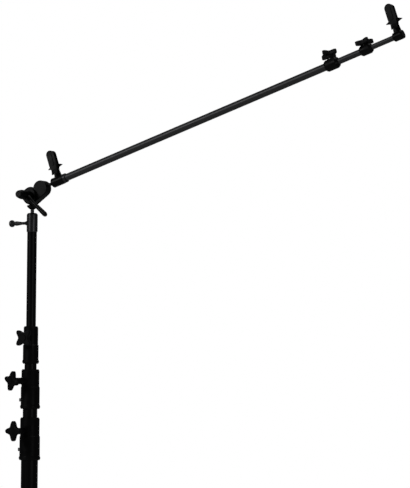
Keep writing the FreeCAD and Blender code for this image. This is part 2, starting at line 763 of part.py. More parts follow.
def arm_axes():
    """The boom's root, its direction, and the direction across it, upwards."""
    pitch = math.radians(ARM_PITCH_DEG)
    root = pivot_point() + V(ARM_ROOT_DX, 0, ARM_ROOT_DZ)
    return root, V(math.cos(pitch), 0, math.sin(pitch)), V(-math.sin(pitch), 0, math.cos(pitch))


def arm_place():
    """Boom frame: X along the boom from its root, Z across it, upwards."""
    root, along, across = arm_axes()
    return frame_of(root, along, across)


def arm_clamp(name, end, tube_od, inner_od, spot):
    """A collar on a boom tube's end, with its star knob and stud."""
    size = ARM_CLAMPS[name]
    low, high = end - size["back"], end + size["ahead"]
    lean = math.radians(size["lean"])
    face = V(0, -math.sin(lean), math.cos(lean))
    at = V(end + size["knob_at"], 0, 0)
    out = size["out"]
    tube_r = tube_od / 2
    r = tube_r + size["wall"]
    inner_r = inner_od / 2 + RUN
    turned = [
        (tube_r, low),
        (r - 2 * EASE, low),
        (r, low + 3 * EASE),
        (r, high - 4.4 * EASE),
        (r - 2.8 * EASE, high),
        (inner_r, high),
        (inner_r, end),
        (tube_r, end),
    ]
    body = placed(lathe(turned), frame_of(V(0, 0, 0), Y_AXIS, X_AXIS))
    boss_end = min(r + ARM_BOSS_PROUD, out - ARM_KNOB_T / 2 - GAP)
    boss = cone(ARM_BOSS_D / 2 + ARM_BOSS_SPREAD, ARM_BOSS_D / 2, 0, boss_end, face, at)
    boss = boss.cut(cyl(tube_r, low, end, X_AXIS)).cut(cyl(inner_r, end - 1, high, X_AXIS))
    boss = boss.common(cyl(2 * boss_end, low, high, X_AXIS))
    stud_r = ARM_STUD_D / 2
    body = fused([body, boss]).cut(cyl(stud_r + RUN, 0, boss_end + 1, face, at))
    save("arm_collar_" + name, placed(body, spot))

    turn = spot.multiply(frame_of(at, X_AXIS, face))
    stud_end = out + STUD_IN_KNOB
    top = out + ARM_KNOB_T / 2
    low_face = out - ARM_KNOB_T / 2
    plate = star(ARM_KNOB_R, ARM_KNOB_WEB, ARM_KNOB_T, ARM_KNOB_EDGE, low_face, size["phase"])
    hub = cone(ARM_KNOB_HUB[0] / 2, ARM_KNOB_HUB[1] / 2, boss_end + GAP, out)
    cap = cone(ARM_KNOB_CAP[0] / 2, ARM_KNOB_CAP[1] / 2, top, top + ARM_KNOB_CAP_H)
    knob = fused([plate, hub, cap]).cut(cyl(stud_r + RUN, 0, stud_end + RUN))
    save("arm_knob_" + name, placed(knob, turn))
    save("arm_stud_" + name, placed(cyl(stud_r, inner_r, stud_end), turn))


def build_boom():
    spot = arm_place()
    r1 = ARM_1_OD / 2
    r2 = ARM_2_OD / 2
    r3 = ARM_3_OD / 2
    save("arm_tube_1", placed(tube(r1, r1 - ARM_1_WALL, ARM_1_START, ARM_1_END, X_AXIS), spot))
    save("arm_tube_2", placed(tube(r2, r2 - ARM_2_WALL, ARM_2_START, ARM_2_END, X_AXIS), spot))
    save("arm_tube_3", placed(tube(r3, r3 - ARM_3_WALL, ARM_3_START, ARM_3_END, X_AXIS), spot))
    stem = fused([cyl(STEM_D / 2, 0, ARM_1_START, X_AXIS),
                  cyl(r1, ARM_1_START - STEM_FLANGE, ARM_1_START, X_AXIS),
                  cyl(r1 - ARM_1_WALL, ARM_1_START, ARM_1_START + STEM_PLUG, X_AXIS)])
    save("arm_stem", placed(stem, spot))
    ring_at = near_sleeve()[1] + RING_PLAY
    ring = tube(r1 + NEAR_SLEEVE_WALL - RING_PLAY, r1, ring_at, ring_at + NEAR_RING_LEN, X_AXIS)
    save("arm_ring", placed(ring, spot))
    cap_r = r3 + FAR_SLEEVE_WALL
    tip = fused([cyl(r3 - ARM_3_WALL, ARM_3_END - TIP_PLUG, ARM_3_END, X_AXIS),
                 cone(cap_r, cap_r - EASE, ARM_3_END, ARM_3_END + TIP_CAP, X_AXIS)])
    save("arm_tip", placed(tip, spot))
    arm_clamp("a", ARM_1_END, ARM_1_OD, ARM_2_OD, spot)
    arm_clamp("b", ARM_2_END, ARM_2_OD, ARM_3_OD, spot)


# ---------------------------------------------------------------- clips

def near_sleeve():
    """Stations of the near clip's sleeve."""
    start = ARM_1_START - NEAR_SLEEVE_IN
    return start, start + NEAR_SLEEVE_LEN


def far_sleeve():
    """Stations of the far clip's sleeve."""
    end = ARM_3_END - RING_PLAY
    return end - FAR_SLEEVE_LEN, end


def jaw_blade(right_side, y0, y1):
    """The tall round-topped plate of a jaw: right_side is its edge up to the waist."""
    w = JAW_W / 2
    dome = CLIP_TOP - w
    right = right_side + [(w, PIN_Z + 3.0), (w, dome)]
    left = [(-x, z) for x, z in reversed(right)]
    return outline(right + left, y0, y1).fuse(cyl(w, y0, y1, Y_AXIS, V(0, 0, dome)))


def ears(inner, y_root):
    """A pair of ears round the pin, reaching from a jaw's plate at y_root."""
    pair = []
    for side in (-1, 1):
        a = min(side * inner, side * (inner + EAR_T))
        ear = cyl(EAR_R, a, a + EAR_T, X_AXIS, V(0, 0, PIN_Z))
        pair.append(ear.fuse(block(a, a + EAR_T, min(0, y_root), max(0, y_root),
                                   PIN_Z - EAR_R, PIN_Z + EAR_R)))
    return pair


def fixed_jaw(sleeve_od, half):
    """The jaw that carries the sleeve and the wings."""
    waist = WAIST_W / 2
    back = JAW_INNER + JAW_T
    sleeve = cyl(sleeve_od / 2, -half, half, X_AXIS)
    rims = [e for e in sleeve.Edges if e.BoundBox.XLength < 0.01]
    sleeve = sleeve.makeChamfer(SLEEVE_EDGE, rims)
    foot_half = min(FOOT_W / 2, half - SLEEVE_EDGE)
    edge = [(foot_half, FOOT_Z), (waist + 1.4, FOOT_FLARE_Z), (waist, PIN_Z - WAIST_DROP)]
    blade = jaw_blade(edge, JAW_INNER, back)
    lip_half = JAW_W / 2 - LIP_INSET
    lip = block(-lip_half, lip_half, JAW_LIP, JAW_INNER, GRIP_Z - LIP_BELOW, GRIP_Z + LIP_ABOVE)
    wings = []
    for side in (-1, 1):
        tip = side * WING_SPAN / 2
        root = side * waist
        corners = [(root, PIN_Z - WING_BELOW), (tip, PIN_Z), (root, PIN_Z + WING_ABOVE)]
        wings.append(outline(corners, JAW_INNER, back - EASE))
    outer_ear = PIN_LEN / 2 - EAR_T
    return fused([sleeve, blade, lip] + wings + ears(outer_ear, JAW_INNER + 1))


def moving_jaw():
    """The jaw that opens, with its finger tab and its rib."""
    waist = WAIST_W / 2
    back = JAW_INNER + JAW_T
    low = PIN_Z - WAIST_DROP
    front = jaw_blade([(waist, low)], -back, -JAW_INNER)
    end = PIN_Z - TAB_DROP
    tab = Part.Face(Part.makePolygon([
        V(-waist, -back, low + 2),
        V(-waist, -JAW_INNER, low + 2),
        V(-waist, -back - TAB_KICK + 2.4, end),
        V(-waist, -back - TAB_KICK, end),
        V(-waist, -back, low + 2),
    ])).extrude(V(WAIST_W, 0, 0))
    lip_half = JAW_W / 2 - LIP_INSET
    lip = block(-lip_half, lip_half, -JAW_INNER, -JAW_LIP, GRIP_Z - LIP_BELOW, GRIP_Z + LIP_ABOVE)
    rib_low, rib_high = PIN_Z + RIB_FROM, CLIP_TOP - RIB_TO
    rib = block(-RIB_W / 2, RIB_W / 2, -back - RIB_PROUD, -back, rib_low, rib_high)
    rounds = [cyl(RIB_W / 2, -back - RIB_PROUD, -back, Y_AXIS, V(0, 0, z)) for z in (rib_low, rib_high)]
    inner_ear = PIN_LEN / 2 - 2 * EAR_T - EAR_GAP
    return fused([front, tab, lip, rib] + rounds + ears(inner_ear, -JAW_INNER - 1))


def spring():
    """The clip's coil spring round its pin."""
    pitch = WIRE_D * 1.25
    mean = PIN_D / 2 + WIRE_D / 2 + 3 * RUN
    helix = Part.makeHelix(pitch, pitch * COILS, mean)
    ring = Part.Wire(Part.makeCircle(WIRE_D / 2, V(mean, 0, 0), Y_AXIS))
    coil = Part.Wire(helix).makePipeShell([ring], True, True)
    return placed(coil, frame_of(V(-pitch * COILS / 2, 0, PIN_Z), Y_AXIS, X_AXIS))


def build_clip(name, span, sleeve_od, tube_od, spot):
    """A spring clip: a jaw on a sleeve round the boom, a second jaw, a pin and a spring."""
    middle = 0.5 * (span[0] + span[1])
    half = 0.5 * (span[1] - span[0])
    here = spot.multiply(FreeCAD.Placement(V(middle, 0, 0), FreeCAD.Rotation()))
    bore = cyl(tube_od / 2 + RUN, -half - 1, half + 1, X_AXIS)
    wide = WING_SPAN
    grip = cyl(GRIP_D / 2, -wide, wide, X_AXIS, V(0, 0, GRIP_Z))
    pin_at = V(0, 0, PIN_Z)
    pin_hole = cyl(PIN_D / 2, -wide, wide, X_AXIS, pin_at)
    running = cyl(PIN_D / 2 + RUN, -wide, wide, X_AXIS, pin_at)
    fixed = fixed_jaw(sleeve_od, half).cut(bore).cut(grip).cut(pin_hole)
    save("clip_" + name, placed(fixed, here))
    save("clip_" + name + "_jaw", placed(moving_jaw().cut(grip).cut(running), here))
    save("clip_" + name + "_pin", placed(cyl(PIN_D / 2, -PIN_LEN / 2, PIN_LEN / 2, X_AXIS, pin_at), here))
    save("clip_" + name + "_spring", placed(spring(), here))


def build_clips():
    spot = arm_place()
    build_clip("near", near_sleeve(), ARM_1_OD + 2 * NEAR_SLEEVE_WALL, ARM_1_OD, spot)
    build_clip("far", far_sleeve(), ARM_3_OD + 2 * FAR_SLEEVE_WALL, ARM_3_OD, spot)


os.makedirs("parts", exist_ok=True)
build_base()
build_column()
build_socket()
build_lower_knuckle()
build_upper_knuckle()
build_lever()
build_boom()
build_clips()
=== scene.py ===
"""Looks of a light stand with a telescopic boom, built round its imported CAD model.

Each sub-assembly is a class that dresses its CAD nodes and adds the small pieces they
carry. Lengths are in metres, in the frame of the CAD model: Z up the column, the boom
leaving it towards +X.
"""

import json
import logging
import math
from collections.abc import Sequence
from dataclasses import dataclass, field
from enum import Enum

import bpy
from mathutils import Matrix, Vector

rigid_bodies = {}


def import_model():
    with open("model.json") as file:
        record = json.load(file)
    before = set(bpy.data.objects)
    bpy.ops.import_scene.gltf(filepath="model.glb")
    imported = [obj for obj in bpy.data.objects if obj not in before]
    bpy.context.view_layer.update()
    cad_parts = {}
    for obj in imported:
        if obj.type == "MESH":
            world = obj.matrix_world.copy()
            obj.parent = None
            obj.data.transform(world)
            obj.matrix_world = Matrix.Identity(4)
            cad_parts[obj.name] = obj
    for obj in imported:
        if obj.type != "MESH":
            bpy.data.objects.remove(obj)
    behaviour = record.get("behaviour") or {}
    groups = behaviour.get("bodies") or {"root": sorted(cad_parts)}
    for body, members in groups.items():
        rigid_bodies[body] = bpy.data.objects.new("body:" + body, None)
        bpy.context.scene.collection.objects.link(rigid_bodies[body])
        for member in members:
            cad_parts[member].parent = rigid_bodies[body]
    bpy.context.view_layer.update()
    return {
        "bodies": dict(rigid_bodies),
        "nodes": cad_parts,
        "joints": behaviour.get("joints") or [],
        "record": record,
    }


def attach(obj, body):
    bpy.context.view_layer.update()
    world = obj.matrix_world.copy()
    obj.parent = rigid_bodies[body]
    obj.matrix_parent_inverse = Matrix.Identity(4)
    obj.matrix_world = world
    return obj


Colour = tuple[float, float, float]
LOG = logging.getLogger("stand")
MM = 0.001


# ------------------------------------------------------------------ shader groups


class ShaderGroup:
    """A shader node group under construction, with named inputs and outputs."""

    def __init__(self, name: str) -> None:
        """Start an empty group.

        Args:
            name: the group's name.
        """
        self.tree = bpy.data.node_groups.new(name, "ShaderNodeTree")
        self.enter = self.tree.nodes.new("NodeGroupInput")
        self.leave = self.tree.nodes.new("NodeGroupOutput")

    def takes(self, name: str, kind: str = "Float", value: float | None = None) -> None:
        """Add an input socket.

        Args:
            name: the socket's name.
            kind: Float, Vector or Color.
            value: its default, for a float.
        """
        sock = self.tree.interface.new_socket(
            name=name, in_out="INPUT", socket_type=f"NodeSocket{kind}"
        )
        if value is not None:
            sock.default_value = value

    def gives(self, name: str, source: bpy.types.NodeSocket, kind: str = "Float") -> None:
        """Add an output socket and feed it.

        Args:
            name: the socket's name.
            source: what feeds it.
            kind: Float, Vector or Color.
        """
        self.tree.interface.new_socket(
            name=name, in_out="OUTPUT", socket_type=f"NodeSocket{kind}"
        )
        self.tree.links.new(source, self.leave.inputs[name])

    def node(self, kind: str, **fields: object) -> bpy.types.Node:
        """Add a node and set its fields.

        Args:
            kind: the node's type name.
            fields: properties to set on it.

        Returns:
            The node.
        """
        made = self.tree.nodes.new(kind)
        for key, value in fields.items():
            setattr(made, key, value)
        return made

    def link(self, source: bpy.types.NodeSocket, target: bpy.types.NodeSocket) -> None:
        """Join two sockets."""
        self.tree.links.new(source, target)

    def math(self, operation: str, a: object, b: object = 0.0) -> bpy.types.NodeSocket:
        """Add a math node.

        Args:
            operation: its operation.
            a: first operand, a socket or a number.
            b: second operand, a socket or a number.

        Returns:
            Its result.
        """
        made = self.node("ShaderNodeMath", operation=operation)
        for slot, operand in enumerate((a, b)):
            if isinstance(operand, (int, float)):
                made.inputs[slot].default_value = operand
            else:
                self.link(operand, made.inputs[slot])
        return made.outputs[0]


def grain_group() -> bpy.types.NodeTree:
    """Fine unevenness of a coated, cast or moulded skin.

    Returns:
        A group from Place, Scale and Coarse to Height and Tone.
    """
    group = ShaderGroup("skin_grain")
    group.takes("Place", "Vector")
    group.takes("Scale", value=900.0)
    group.takes("Coarse", value=60.0)
    fine = group.node("ShaderNodeTexNoise")
    fine.inputs["Detail"].default_value = 3.0
    fine.inputs["Roughness"].default_value = 0.6
    wide = group.node("ShaderNodeTexNoise")
    wide.inputs["Detail"].default_value = 4.0
    for noise, scale in ((fine, "Scale"), (wide, "Coarse")):
        group.link(group.enter.outputs["Place"], noise.inputs["Vector"])
        group.link(group.enter.outputs[scale], noise.inputs["Scale"])
    group.gives("Height", fine.outputs["Fac"])
    group.gives("Tone", wide.outputs["Fac"])
    return group.tree


def drawn_group() -> bpy.types.NodeTree:
    """Faint lines left by drawing a tube or turning a rod.

    Returns:
        A group from Place and Stretch to Height and Tone.
    """
    group = ShaderGroup("drawn_lines")
    group.takes("Place", "Vector")
    group.takes("Stretch", "Vector")
    scaled = group.node("ShaderNodeVectorMath", operation="MULTIPLY")
    group.link(group.enter.outputs["Place"], scaled.inputs[0])
    group.link(group.enter.outputs["Stretch"], scaled.inputs[1])
    noise = group.node("ShaderNodeTexNoise")
    noise.inputs["Scale"].default_value = 1.0
    noise.inputs["Detail"].default_value = 5.0
    noise.inputs["Roughness"].default_value = 0.7
    group.link(scaled.outputs[0], noise.inputs["Vector"])
    group.gives("Height", noise.outputs["Fac"])
    group.gives("Tone", noise.outputs["Fac"])
    return group.tree


def wear_group() -> bpy.types.NodeTree:
    """Where handling has rubbed the edges.

    Returns:
        A group from Place and Amount to Mask.
    """
    group = ShaderGroup("edge_wear")
    group.takes("Place", "Vector")
    group.takes("Amount", value=0.5)
    bevel = group.node("ShaderNodeBevel", samples=4)
    bevel.inputs["Radius"].default_value = 0.0009
    flat = group.node("ShaderNodeNewGeometry")
    dot = group.node("ShaderNodeVectorMath", operation="DOT_PRODUCT")
    group.link(bevel.outputs["Normal"], dot.inputs[0])
    group.link(flat.outputs["Normal"], dot.inputs[1])
    edge = group.math("SUBTRACT", 1.0, dot.outputs["Value"])
    edge = group.math("MULTIPLY", edge, 5.0)
    noise = group.node("ShaderNodeTexNoise")
    noise.inputs["Scale"].default_value = 260.0
    noise.inputs["Detail"].default_value = 4.0
    group.link(group.enter.outputs["Place"], noise.inputs["Vector"])
    patchy = group.node("ShaderNodeMapRange")
    patchy.inputs["From Min"].default_value = 0.42
    patchy.inputs["From Max"].default_value = 0.66
    group.link(noise.outputs["Fac"], patchy.inputs["Value"])
    mask = group.math("MULTIPLY", edge, patchy.outputs["Result"])
    mask = group.math("MULTIPLY", mask, group.enter.outputs["Amount"])
    mask = group.math("MINIMUM", mask, 1.0)
    group.gives("Mask", mask)
    return group.tree


def dust_group() -> bpy.types.NodeTree:
    """Dust that settles on faces that look up.

    Returns:
        A group from Place and Amount to Mask.
    """
    group = ShaderGroup("settled_dust")
    group.takes("Place", "Vector")
    group.takes("Amount", value=0.2)
    flat = group.node("ShaderNodeNewGeometry")
    split = group.node("ShaderNodeSeparateXYZ")
    group.link(flat.outputs["Normal"], split.inputs[0])
    upward = group.node("ShaderNodeMapRange")
    upward.inputs["From Min"].default_value = 0.35
    upward.inputs["From Max"].default_value = 1.0
    group.link(split.outputs["Z"], upward.inputs["Value"])
    noise = group.node("ShaderNodeTexNoise")
    noise.inputs["Scale"].default_value = 140.0
    noise.inputs["Detail"].default_value = 6.0
    group.link(group.enter.outputs["Place"], noise.inputs["Vector"])
    speckle = group.node("ShaderNodeMapRange")
    speckle.inputs["From Min"].default_value = 0.38
    speckle.inputs["From Max"].default_value = 0.72
    group.link(noise.outputs["Fac"], speckle.inputs["Value"])
    mask = group.math("MULTIPLY", upward.outputs["Result"], speckle.outputs["Result"])
    group.gives("Mask", group.math("MULTIPLY", mask, group.enter.outputs["Amount"]))
    return group.tree


# ------------------------------------------------------------------ finishes


class Skin(Enum):
    """How a surface was made, which sets the pattern of its relief."""

    COATED = "skin_grain"
    DRAWN = "drawn_lines"


@dataclass(frozen=True)
class Finish:
    """One finish of the stand.

    Args:
        name: the material's name.
        colour: base colour, linear.
        metallic: how metallic it is.
        roughness: middle of its roughness.
        skin: the relief's pattern.
        fine: spatial frequency of the fine grain, per metre.
        coarse: spatial frequency of the tone changes, per metre.
        stretch: spatial frequency of drawn lines along each axis, per metre.
        relief: height of the grain in metres.
        wear: how much the edges are rubbed.
        wear_colour: what shows through there.
        dust: how much dust lies on it.
        spread: how far roughness strays from its middle.
        tone: how far brightness strays from its middle.
        specular: specular level of the shader.
    """

    name: str
    colour: Colour
    metallic: float
    roughness: float
    skin: Skin = Skin.COATED
    fine: float = 1400.0
    coarse: float = 55.0
    stretch: tuple[float, float, float] = (900.0, 900.0, 9.0)
    relief: float = 0.00004
    wear: float = 0.35
    wear_colour: Colour = (0.20, 0.20, 0.21)
    dust: float = 0.10
    spread: float = 0.14
    tone: float = 0.35
    specular: float = 0.5


TUBE_BLACK = Finish("tube_black", (0.0016, 0.0016, 0.0018), 0.0, 0.32, Skin.DRAWN, relief=0.00001,
                    specular=0.20, wear=0.25, wear_colour=(0.04, 0.04, 0.042), dust=0.02)
CAST_BLACK = Finish("cast_black", (0.0018, 0.0018, 0.0021), 0.0, 0.44, fine=2200.0, relief=0.00005,
                    specular=0.14, wear_colour=(0.035, 0.035, 0.037), dust=0.02)
KNOB_BLACK = Finish("knob_black", (0.0022, 0.0022, 0.0024), 0.0, 0.52, fine=2600.0, relief=0.00005,
                    specular=0.16, wear_colour=(0.02, 0.02, 0.021), dust=0.02)
BOOM_KNOB = Finish("boom_knob", (0.0095, 0.0095, 0.0100), 0.0, 0.56, fine=2600.0, relief=0.00005,
                   specular=0.28, wear_colour=(0.04, 0.04, 0.04), dust=0.05)
RUBBER = Finish("rubber", (0.010, 0.010, 0.010), 0.0, 0.82, fine=3200.0, relief=0.00006,
                wear_colour=(0.05, 0.05, 0.05), dust=0.25, specular=0.25)
NYLON = Finish("inner_nylon", (0.03, 0.03, 0.033), 0.0, 0.5, wear_colour=(0.08, 0.08, 0.08))
STEEL = Finish("steel", (0.42, 0.42, 0.43), 1.0, 0.36, Skin.DRAWN, relief=0.000012,
               stretch=(400.0, 400.0, 400.0), wear_colour=(0.6, 0.6, 0.6), dust=0.04)
DARK_STEEL = Finish("dark_steel", (0.012, 0.012, 0.0125), 0.6, 0.38, Skin.DRAWN, relief=0.000012,
                    stretch=(400.0, 400.0, 400.0), wear_colour=(0.16, 0.16, 0.16), dust=0.05)
SOCKET_GREY = Finish("socket_grey", (0.085, 0.085, 0.088), 1.0, 0.30, Skin.DRAWN, relief=0.00001,
                     stretch=(30.0, 30.0, 2500.0), wear_colour=(0.4, 0.4, 0.4), dust=0.04)
BALL_GREY = Finish("ball_grey", (0.029, 0.029, 0.030), 0.4, 0.36, fine=1600.0, relief=0.00002,
                   wear_colour=(0.2, 0.2, 0.2), dust=0.08)
KNUCKLE_BLACK = Finish("knuckle_black", (0.0020, 0.0020, 0.0023), 0.0, 0.34, fine=1800.0,
                       relief=0.00004, wear_colour=(0.04, 0.04, 0.04), dust=0.02, specular=0.16)
BOOM_TUBE = Finish("boom_tube", (0.061, 0.061, 0.063), 0.55, 0.44, Skin.DRAWN, relief=0.00001,
                   stretch=(20.0, 1200.0, 1200.0), wear_colour=(0.3, 0.3, 0.3), dust=0.06)
RING_GREY = Finish("ring_grey", (0.050, 0.050, 0.052), 0.7, 0.40, Skin.DRAWN, relief=0.00001,
                   stretch=(900.0, 60.0, 60.0), wear_colour=(0.3, 0.3, 0.3))
BOOM_BLACK = Finish("boom_black", (0.0026, 0.0026, 0.0029), 0.0, 0.44, fine=2400.0, relief=0.00004,
                    specular=0.18, wear_colour=(0.03, 0.03, 0.03), dust=0.03)


class Finishes:
    """Makes each finish's material once."""

    def __init__(self) -> None:
        """Build the shared shader groups."""
        self.groups = {
            "skin_grain": grain_group(),
            "drawn_lines": drawn_group(),
            "edge_wear": wear_group(),
            "settled_dust": dust_group(),
        }
        self.made: dict[str, bpy.types.Material] = {}

    def of(self, finish: Finish) -> bpy.types.Material:
        """The material of a finish.

        Args:
            finish: the finish.

        Returns:
            Its material, made at the first call.
        """
        if finish.name not in self.made:
            self.made[finish.name] = self._build(finish)
        return self.made[finish.name]

    def _build(self, finish: Finish) -> bpy.types.Material:
        """Build one material.

        Args:
            finish: the finish.

        Returns:
            The material.
        """
        material = bpy.data.materials.new(finish.name)
        material.use_nodes = True
        nodes, links = material.node_tree.nodes, material.node_tree.links
        shader = nodes["Principled BSDF"]
        shader.inputs["Metallic"].default_value = finish.metallic
        shader.inputs["Specular IOR Level"].default_value = finish.specular
        place = nodes.new("ShaderNodeTexCoord").outputs["Object"]

        def group(name: str) -> bpy.types.Node:
            """Place one of the shared groups on the object's coordinates."""
            made = nodes.new("ShaderNodeGroup")
            made.node_tree = self.groups[name]
            links.new(place, made.inputs["Place"])
            return made

        skin = group(finish.skin.value)
        if finish.skin is Skin.COATED:
            skin.inputs["Scale"].default_value = finish.fine
            skin.inputs["Coarse"].default_value = finish.coarse
        else:
            skin.inputs["Stretch"].default_value = finish.stretch
        wear = group("edge_wear")
        wear.inputs["Amount"].default_value = finish.wear
        dust = group("settled_dust")
        dust.inputs["Amount"].default_value = finish.dust

        ramp = nodes.new("ShaderNodeMapRange")
        ramp.inputs["From Min"].default_value = 0.3
        ramp.inputs["From Max"].default_value = 0.7
        ramp.inputs["To Min"].default_value = 1.0 - finish.tone
        ramp.inputs["To Max"].default_value = 1.0 + finish.tone
        links.new(skin.outputs["Tone"], ramp.inputs["Value"])
        tint = nodes.new("ShaderNodeVectorMath")
        tint.operation = "SCALE"
        tint.inputs[0].default_value = finish.colour
        links.new(ramp.outputs["Result"], tint.inputs["Scale"])
        colour = tint.outputs[0]
        for mask, shade in (
            (wear.outputs["Mask"], finish.wear_colour),
            (dust.outputs["Mask"], (0.16, 0.155, 0.15)),
        ):
            mix = nodes.new("ShaderNodeMix")
            mix.data_type = "RGBA"
            links.new(mask, mix.inputs["Factor"])
            links.new(colour, mix.inputs["A"])
            mix.inputs["B"].default_value = (*shade, 1.0)
            colour = mix.outputs["Result"]
        links.new(colour, shader.inputs["Base Color"])

        rough = nodes.new("ShaderNodeMapRange")
        rough.inputs["From Min"].default_value = 0.3
        rough.inputs["From Max"].default_value = 0.7
        rough.inputs["To Min"].default_value = max(0.05, finish.roughness - finish.spread)
        rough.inputs["To Max"].default_value = min(1.0, finish.roughness + finish.spread)
        links.new(skin.outputs["Tone"], rough.inputs["Value"])
        dulled = nodes.new("ShaderNodeMath")
        dulled.operation = "ADD"
        links.new(rough.outputs["Result"], dulled.inputs[0])
        links.new(dust.outputs["Mask"], dulled.inputs[1])
        links.new(dulled.outputs[0], shader.inputs["Roughness"])

        bump = nodes.new("ShaderNodeBump")
        bump.inputs["Distance"].default_value = finish.relief
        bump.inputs["Strength"].default_value = 0.6
        links.new(skin.outputs["Height"], bump.inputs["Height"])
        links.new(bump.outputs["Normal"], shader.inputs["Normal"])
        return material


def dress(frame: dict, material: bpy.types.Material, *names: str) -> None:
    """Give CAD nodes their material.

    Args:
        material: the material.
        names: the nodes.
    """
    for name in names:
        data = frame["nodes"][name].data
        data.materials.clear()
        data.materials.append(material)


# ------------------------------------------------------------------ repeats


@dataclass(frozen=True)
class Spot:
    """Where one of a row of small solids sits, and how it is turned.

    Args:
        at: its middle.
        out: the way its own X axis faces.
        along: the way its own Z axis faces.
    """

    at: Vector
    out: Vector
    along: Vector


class Row:
    """A Geometry Nodes tree that sets a rounded solid at every spot of a row."""

    def __init__(self) -> None:
        """Build the tree."""
        self.tree = bpy.data.node_groups.new("row_of_beads", "GeometryNodeTree")
        face = self.tree.interface
        face.new_socket(name="Spots", in_out="INPUT", socket_type="NodeSocketGeometry")
        kinds = {"Size": "Vector", "Spread": "Float", "Seed": "Int", "Finish": "Material"}
        self.sockets = {
            name: face.new_socket(name=name, in_out="INPUT", socket_type=f"NodeSocket{kind}")
            for name, kind in kinds.items()
        }
        face.new_socket(name="Row", in_out="OUTPUT", socket_type="NodeSocketGeometry")
        enter, leave = self._node("NodeGroupInput"), self._node("NodeGroupOutput")
        bead = self._node("GeometryNodeMeshIcoSphere")
        bead.inputs["Radius"].default_value = 1.0
        bead.inputs["Subdivisions"].default_value = 3
        sizes = self._node("FunctionNodeRandomValue", data_type="FLOAT")
        low, high = self._math("SUBTRACT"), self._math("ADD")
        for node in (low, high):
            node.inputs[0].default_value = 1.0
            self._link(enter.outputs["Spread"], node.inputs[1])
        spread_in = [sock for sock in sizes.inputs if sock.type == "VALUE"]
        self._link(low.outputs[0], spread_in[0])
        self._link(high.outputs[0], spread_in[1])
        self._link(enter.outputs["Seed"], sizes.inputs["Seed"])
        scale = self._node("ShaderNodeVectorMath", operation="SCALE")
        self._link(enter.outputs["Size"], scale.inputs[0])
        drawn = [sock for sock in sizes.outputs if sock.type == "VALUE"]
        self._link(drawn[0], scale.inputs["Scale"])
        turn = self._aligned("out", "X", None)
        turn = self._aligned("along", "Z", turn)
        rows = self._node("GeometryNodeInstanceOnPoints")
        self._link(enter.outputs["Spots"], rows.inputs["Points"])
        self._link(bead.outputs["Mesh"], rows.inputs["Instance"])
        self._link(turn, rows.inputs["Rotation"])
        self._link(scale.outputs[0], rows.inputs["Scale"])
        smooth = self._node("GeometryNodeSetShadeSmooth")
        real = self._node("GeometryNodeRealizeInstances")
        dressed = self._node("GeometryNodeSetMaterial")
        self._link(rows.outputs["Instances"], real.inputs["Geometry"])
        self._link(real.outputs["Geometry"], smooth.inputs["Geometry"])
        self._link(smooth.outputs["Geometry"], dressed.inputs["Geometry"])
        self._link(enter.outputs["Finish"], dressed.inputs["Material"])
        self._link(dressed.outputs["Geometry"], leave.inputs["Row"])

    def _node(self, kind: str, **fields: object) -> bpy.types.Node:
        """Add a node and set its fields."""
        made = self.tree.nodes.new(kind)
        for key, value in fields.items():
            setattr(made, key, value)
        return made

    def _math(self, operation: str) -> bpy.types.Node:
        """Add a math node."""
        return self._node("ShaderNodeMath", operation=operation)

    def _link(self, source: bpy.types.NodeSocket, target: bpy.types.NodeSocket) -> None:
        """Join two sockets."""
        self.tree.links.new(source, target)

    def _aligned(
        self, attribute: str, axis: str, before: bpy.types.NodeSocket | None
    ) -> bpy.types.NodeSocket:
        """Turn an axis towards a direction stored on each spot.

        Args:
            attribute: the direction's name.
            axis: the axis that faces it.
            before: an earlier turn to keep, about its own X axis.

        Returns:
            The turn.
        """
        stored = self._node("GeometryNodeInputNamedAttribute", data_type="FLOAT_VECTOR")
        stored.inputs["Name"].default_value = attribute
        align = self._node("FunctionNodeAlignRotationToVector", axis=axis)
        self._link(stored.outputs["Attribute"], align.inputs["Vector"])
        if before is not None:
            align.pivot_axis = "X"
            self._link(before, align.inputs["Rotation"])
        return align.outputs["Rotation"]

    def make(
        self,
        name: str,
        spots: Sequence[Spot],
        size: tuple[float, float, float],
        finish: bpy.types.Material,
        body: str,
        slot: str,
        spread: float = 0.0,
    ) -> bpy.types.Object:
        """Make one row as a plain mesh that rides on a body.

        Args:
            name: the piece's name.
            spots: where its solids sit.
            size: half sizes of one solid.
            finish: its material.
            body: the body it moves with.
            slot: the record's material slot; not used.
            spread: how far sizes stray, as a share.

        Returns:
            The piece.
        """
        data = bpy.data.meshes.new(f"{name}_spots")
        data.from_pydata([tuple(spot.at) for spot in spots], [], [])
        for key in ("out", "along"):
            stored = data.attributes.new(key, "FLOAT_VECTOR", "POINT")
            for value, spot in zip(stored.data, spots, strict=True):
                value.vector = getattr(spot, key)
        holder = bpy.data.objects.new(f"{name}_spots", data)
        bpy.context.scene.collection.objects.link(holder)
        modifier = holder.modifiers.new("row", "NODES")
        modifier.node_group = self.tree
        values = {"Size": size, "Spread": spread, "Seed": 7, "Finish": finish}
        for key, value in values.items():
            modifier[self.sockets[key].identifier] = value
        graph = bpy.context.evaluated_depsgraph_get()
        mesh = bpy.data.meshes.new_from_object(holder.evaluated_get(graph))
        mesh.name = name
        bpy.data.objects.remove(holder)
        piece = bpy.data.objects.new(name, mesh)
        bpy.context.scene.collection.objects.link(piece)
        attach(piece, body)
        LOG.info("made %s with %d solids", name, len(spots))
        return piece


def turned(x: float, y: float, z: float, degrees: float) -> Vector:
    """A point in millimetres turned about the column, in metres."""
    angle = math.radians(degrees)
    c, s = math.cos(angle), math.sin(angle)
    return Vector((x * c - y * s, x * s + y * c, z)) * MM


# ------------------------------------------------------------------ studio


